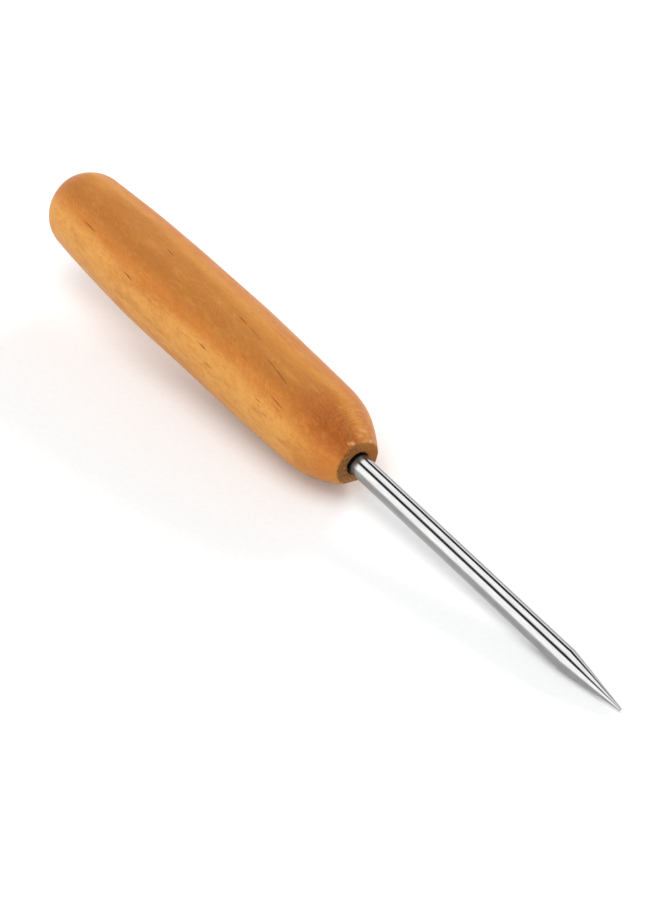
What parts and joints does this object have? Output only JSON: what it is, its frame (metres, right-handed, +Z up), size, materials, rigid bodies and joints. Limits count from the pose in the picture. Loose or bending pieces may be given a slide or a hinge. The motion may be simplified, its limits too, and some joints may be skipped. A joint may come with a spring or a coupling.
{
  "type": "scratch awl",
  "caption": "Leatherworking scratch awl: turned wooden handle with a round butt and a glued-in round steel blade ground to a conical point.",
  "frame": {"origin": "on the surface the awl lies on, under the middle of its overall length and of its width", "axes": "+X along the awl towards the tip, level; +Z up; +Y across. At rest the awl's own axis lies in the XZ plane, 5.23 degrees tip down from +X"},
  "size_m": [0.1828, 0.0202, 0.0255],
  "materials": {
    "handle_wood": "satin",
    "blade_steel": "polished",
    "set_glue": "gloss"
  },
  "bodies": {
    "root": {"handle": "handle_wood", "blade": "blade_steel", "glue_bond": "set_glue"}
  },
  "joints": []
}
